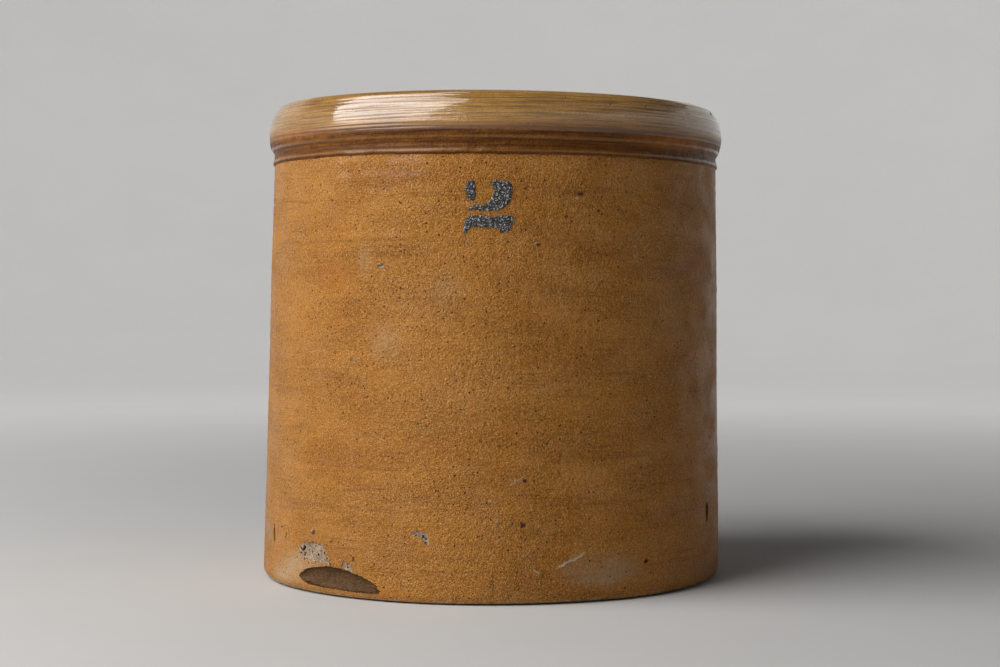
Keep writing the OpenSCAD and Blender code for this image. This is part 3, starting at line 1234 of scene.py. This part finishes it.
    def glaze_throat(self, mesh, material):
        """Gives the faces under the roll the throat's own glaze."""
        mesh.materials.append(material)
        count = len(mesh.polygons)
        middles, finishes = np.empty(count * 3), np.empty(count, dtype=np.int32)
        mesh.polygons.foreach_get("center", middles)
        mesh.polygons.foreach_get("material_index", finishes)
        turn, height = unleaned(self.outline, middles.reshape(-1, 3))
        finishes[(finishes == 0) & (height < self.throat_top)] = len(mesh.materials) - 1
        mesh.polygons.foreach_set("material_index", finishes)


class CROCK_OT_lining(Operator):
    """Line the inside with dark slip over the potter's throwing rings"""

    bl_idname = "crock.lining"
    bl_label = "Line Inside"

    columns = 300
    step = 1.4 * MM
    back_step = 6 * MM
    ring_pitch = 13 * MM
    floor_pitch = 15 * MM

    def execute(self, context):
        outline = self.outline = Outline(context.scene.crock_shape)
        inside = evenly(outline.inside_line(outline.shape.slip), self.step)
        back = evenly(outline.inside_line(0), self.back_step)
        self.skin = np.concatenate([np.zeros(len(back)), np.ones(len(inside))])[:, None]
        line = np.vstack([back[::-1], inside])
        slip = dark_slip(context.scene.crock_finish)
        lining = turned_piece("slip_lining", outline, line, self.columns, slip, self.rings)
        turn, height = unleaned(outline, mesh_points(lining.data))
        paint(lining.data, "edge", smooth(height, outline.lip_z - 9 * MM, outline.lip_z - 1 * MM))
        finish_piece(lining, "dark_slip", "inside_glaze")
        return {"FINISHED"}

    def rings(self, points, turn):
        """Finger rings that wind up the bore, and the spiral on the floor."""
        height = points[..., 2]
        radius = np.hypot(points[..., 0], points[..., 1])
        depth = self.outline.shape.ring_depth
        bore = np.sin(TURN * height / self.ring_pitch - turn + 1.5 * lumps(points, 0.07))
        floor = np.sin(TURN * radius / self.floor_pitch - turn)
        on_floor = 1 - smooth(height, self.outline.floor_z + 2 * MM, self.outline.floor_z + 12 * MM)
        wave = 0.5 + 0.5 * (bore * (1 - on_floor) + floor * on_floor)
        fade_out = smooth(self.outline.lip_z - height, 2 * MM, 14 * MM) * smooth(radius, 0, 12 * MM)
        return (depth * wave * fade_out + 0.08 * MM * lumps(points, 0.01)) * self.skin


# Strokes of a stencilled 2: points to the right, up and half the stroke's width, in millimetres
STROKES = (
    ((-8.1, 12.7, 1.1), (-9.0, 10.0, 2.2), (-8.6, 7.3, 2.4), (-8.1, 5.0, 1.1)),
    ((1.9, 11.5, 1.7), (5.8, 10.8, 2.5), (8.1, 10.4, 2.3)),
    ((7.0, 9.6, 3.4), (6.4, 7.7, 4.4), (5.6, 5.0, 4.2), (3.8, 3.1, 3.4), (1.2, 1.4, 2.3), (-2.5, 0.7, 1.5),
     (-6.5, 0.7, 1.1), (-9.6, -0.2, 0.4)),
    ((-6.9, 2.3, 0.5), (-6.5, 0.7, 1.0)),
    ((-11.1, -12.7, 0.3), (-11.0, -10.0, 0.8), (-10.0, -7.3, 1.7), (-8.1, -5.6, 2.8), (-3.5, -5.8, 2.8),
     (1.9, -6.1, 2.6), (6.5, -5.8, 3.2), (8.8, -5.6, 3.0)),
    ((8.1, -8.4, 2.3), (5.4, -10.1, 0.9)),
)


class CROCK_OT_numeral(Operator):
    """Dab the raised capacity numeral onto the wall"""

    bl_idname = "crock.numeral"
    bl_label = "Dab Numeral"

    half_width = 14 * MM
    half_height = 16 * MM
    root = 0.3 * MM
    stroke_steps = 14

    def execute(self, context):
        outline = Outline(context.scene.crock_shape)
        numeral = context.scene.crock_numeral
        across = np.arange(-self.half_width, self.half_width, numeral.cell)
        up = np.arange(-self.half_height, self.half_height, numeral.cell)
        across, up = np.meshgrid(across, up)
        spot = np.stack([across, up, np.zeros_like(up)], -1)
        inside = self.cover(across, up)
        inside += 0.5 * MM * lumps(spot, 1.1 * MM) + 0.4 * MM * lumps(spot + 1, 0.6 * MM)
        inside -= 1.2 * MM * smooth(lumps(spot + 3, 2.4 * MM), 0.42, 0.7)
        grains = 0.5 + 0.5 * lumps(spot + 5, numeral.grain) + 0.25 * lumps(spot + 7, numeral.grain / 2)
        body = smooth(inside, -0.4 * MM, 0.5 * MM)
        rise = body * (0.25 + 1.1 * grains) * numeral.rise - self.root
        wanted = inside > -0.5 * MM
        points, faces = self.raised(outline, numeral, across, up, rise, wanted)
        piece = new_object("capacity_numeral", points, faces, numeral_slip(context.scene.crock_finish))
        # Grain height, which the numeral's material turns into a painted highlight on the crests
        paint(piece.data, "crest", np.concatenate([grains[wanted], np.zeros(wanted.sum())]))
        finish_piece(piece, "dark_slip", sharp=180)
        return {"FINISHED"}

    def cover(self, across, up):
        """Distance inside the strokes, below zero outside them."""
        best = np.full(across.shape, -1.0)
        for stroke in STROKES:
            points = np.array(stroke) * MM
            at = np.linspace(0, len(points) - 1, self.stroke_steps * len(points))
            for x, y, half in zip(*(np.interp(at, range(len(points)), column) for column in points.T)):
                best = np.maximum(best, half - np.hypot(across - x, up - y))
        return best

    def raised(self, outline, numeral, across, up, rise, wanted):
        """Points and faces of a closed skin over the wanted cells, with its root sunk into the glaze."""
        height = numeral.height + up
        radius = outline.wall_r(height) + outline.shape.glaze
        turn = numeral.bearing + across / radius
        top = thrown(outline, radius + rise, turn, height)[wanted]
        bottom = thrown(outline, radius - self.root - 0.1 * MM, turn, height)[wanted]
        index = np.full(wanted.shape, -1)
        index[wanted] = np.arange(wanted.sum())
        corners = np.stack([index[:-1, :-1], index[:-1, 1:], index[1:, 1:], index[1:, :-1]], -1)
        cells = corners[(corners >= 0).all(-1)]
        edges = np.concatenate([cells[:, (k, (k + 1) % 4)] for k in range(4)])
        known = {tuple(edge) for edge in edges.tolist()}
        rim = [(a, b) for a, b in known if (b, a) not in known]
        below = len(top)
        faces = cells.tolist() + (cells[:, ::-1] + below).tolist()
        faces += [(b, a, a + below, b + below) for a, b in sorted(rim)]
        return np.vstack([top, bottom]), faces


class CROCK_OT_stage(Operator):
    """Set the floor, the lamps and the camera"""

    bl_idname = "crock.stage"
    bl_label = "Set Stage"

    flat_radius = 2.2
    sweep = 1.0
    wall_top = 2.0
    columns = 72
    glow_reach = (0.2, 1.7)
    fill_bearing = math.radians(48)
    fill_rise = math.radians(28)
    fill_distance = 2.4
    fill_size = 1.8
    sensor_width = 36
    sky_colour = (0.94, 0.97, 1)

    def execute(self, context):
        stage = context.scene.crock_stage
        self.add_floor(stage)
        key = (stage.key_bearing, stage.key_rise, stage.key_distance, stage.key_size, stage.key_power)
        fill = (self.fill_bearing, self.fill_rise, self.fill_distance, self.fill_size, stage.fill_power)
        self.add_lamp("key", *key)
        self.add_lamp("fill", *fill)
        self.add_camera(context.scene, stage)
        self.light_sky(context.scene, stage)
        context.scene.view_settings.view_transform = "Standard"
        return {"FINISHED"}

    def add_floor(self, stage):
        """Round floor that sweeps up into a backdrop on all sides."""
        line = np.vstack([
            arc((self.flat_radius, self.sweep), self.sweep, -math.pi / 2, 0, 16),
            [(self.flat_radius + self.sweep, self.wall_top)],
        ])
        turn = np.linspace(0, TURN, self.columns, endpoint=False)
        rings = [(r * math.cos(t), r * math.sin(t), z) for r, z in line for t in turn]
        faces = [range(self.columns), *(face[::-1] for face in ring_faces(len(line), self.columns))]
        floor = new_object("floor", rings, faces, self.paper(stage))
        floor.data.shade_smooth()
        floor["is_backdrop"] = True

    def paper(self, stage):
        """Pale paper, brightened for the eye away from the crock."""
        material, tree, shader = new_material("floor_paper")
        tint = mottled(tree, stage.floor, shaded(stage.floor, 0.97), 0.4)
        apart = Value(add(tree, "ShaderNodeVectorMath", {0: place(tree)}, operation="LENGTH"), "Value")
        path = add(tree, "ShaderNodeLightPath")
        seen = [Value(path, f"Is {kind} Ray") for kind in ("Camera", "Glossy", "Transmission")]
        feed(shader, {
            "Base Color": tint,
            "Emission Color": tint,
            "Emission Strength": reduce(Value.most, seen) * apart.fade(*self.glow_reach, 0, stage.backdrop),
            "Roughness": 0.9,
        })
        return material

    def add_lamp(self, name, bearing, rise, distance, size, power):
        """Square soft lamp that faces the middle of the crock."""
        lamp = bpy.data.lights.new(name, "AREA")
        lamp.size = size
        lamp.energy = power
        middle = Vector((0, 0, CAD_BOX[1][2] / 2))
        level_way = Vector((math.sin(bearing), -math.cos(bearing), 0)) * math.cos(rise)
        way = level_way + Vector((0, 0, math.sin(rise)))
        holder = bpy.data.objects.new(name, lamp)
        holder.location = middle + way * distance
        holder.rotation_euler = (-way).to_track_quat("-Z", "Y").to_euler()
        bpy.context.scene.collection.objects.link(holder)

    def add_camera(self, scene, stage):
        """Camera in front of the crock, just below its rim."""
        camera = bpy.data.cameras.new("camera")
        camera.sensor_width = self.sensor_width
        camera.lens = stage.lens
        holder = bpy.data.objects.new("camera", camera)
        holder.location = (0, -stage.camera_distance, stage.camera_height)
        holder.rotation_euler = Euler((math.pi / 2 - stage.camera_pitch, 0, -stage.camera_yaw))
        scene.collection.objects.link(holder)
        scene.camera = holder

    def light_sky(self, scene, stage):
        """Even pale light from all round."""
        scene.world = scene.world or bpy.data.worlds.new("sky")
        scene.world.use_nodes = True
        sky = scene.world.node_tree.nodes["Background"]
        feed(sky, {"Color": self.sky_colour, "Strength": stage.sky})


# Registration


GROUPS = {
    "crock_shape": CrockShape,
    "crock_finish": CrockFinish,
    "crock_numeral": CrockNumeral,
    "crock_stage": CrockStage,
}
STEPS = (CROCK_OT_clay, CROCK_OT_glaze, CROCK_OT_lining, CROCK_OT_numeral, CROCK_OT_stage)


class CROCK_PT_panel(Panel):
    """Sidebar panel with the crock's sizes, colours and steps."""

    bl_idname = "CROCK_PT_panel"
    bl_label = "Stoneware Crock"
    bl_space_type = "VIEW_3D"
    bl_region_type = "UI"
    bl_category = "Crock"

    def draw(self, context):
        for name, group in GROUPS.items():
            box = self.layout.box()
            for key in group.__annotations__:
                box.prop(getattr(context.scene, name), key)
        for step in STEPS:
            self.layout.operator(step.bl_idname)


def register():
    """Registers the classes and hangs the settings on the scene."""
    for group in (*GROUPS.values(), *STEPS, CROCK_PT_panel):
        bpy.utils.register_class(group)
    for name, group in GROUPS.items():
        setattr(bpy.types.Scene, name, PointerProperty(type=group))


def unregister():
    """Takes the settings and the classes away again."""
    for name in GROUPS:
        delattr(bpy.types.Scene, name)
    for group in (CROCK_PT_panel, *reversed(STEPS), *reversed(GROUPS.values())):
        bpy.utils.unregister_class(group)


def main():
    """Builds the whole crock on its stage and works out both boxes."""
    register()
    bpy.ops.crock.clay()
    bpy.ops.crock.glaze()
    bpy.ops.crock.lining()
    bpy.ops.crock.numeral()
    bpy.ops.crock.stage()
    boxes = {"cad": CAD_BOX, "visual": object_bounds()}
    {name: [list(corner) for corner in box] for name, box in boxes.items()}


if __name__ == "__main__":
    main()
